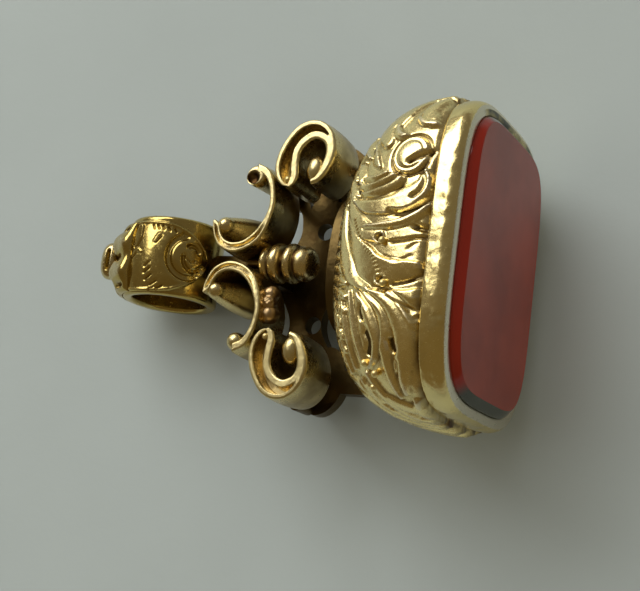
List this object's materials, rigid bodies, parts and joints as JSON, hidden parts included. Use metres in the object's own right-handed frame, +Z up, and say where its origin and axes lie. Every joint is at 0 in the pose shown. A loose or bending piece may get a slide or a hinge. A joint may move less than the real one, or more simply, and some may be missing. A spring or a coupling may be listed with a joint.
{
  "type": "pocket watch fob",
  "caption": "Watch fob seal: a plain cushion-shaped carnelian in a chased gilt dome, joined by an openwork frame of scrolls to a broad suspension loop.",
  "frame": {"origin": "centre of the overall box on the ground, with the fob lying on its side", "axes": "+X from the loop towards the seal's stone face along the object's length, +Y along the setting's long side, +Z up; the fob's own axis slopes up by 10.7 degrees towards the stone"},
  "size_m": [0.038, 0.0258, 0.0192],
  "materials": {
    "gold": "polished, worn, pale gold",
    "solder": "dull, coppery",
    "carnelian": "polished",
    "cement": "matt, hidden"
  },
  "bodies": {
    "root": {"bezel_collet": "gold", "seal_dome": "gold", "crown_plate": "gold", "crown_rim": "gold", "back_plate": "gold", "spacer_posts": "gold", "loop_neck": "gold", "ribbed_bud": "gold", "bud_pin": "gold", "suspension_loop": "gold", "front_shield": "gold", "rear_shield": "gold", "loop_crest": "gold", "crest_knob": "gold", "upper_c_scroll": "gold", "upper_c_bead": "gold", "upper_s_scroll": "gold", "upper_s_bead": "gold", "upper_volute_boss": "gold", "lower_c_scroll": "gold", "lower_c_bead": "gold", "lower_s_scroll": "gold", "lower_s_bead": "gold", "lower_volute_boss": "gold", "stone_seat_ledge": "gold", "solder_lump": "solder", "seal_stone": "carnelian", "setting_cement": "cement"}
  },
  "joints": []
}
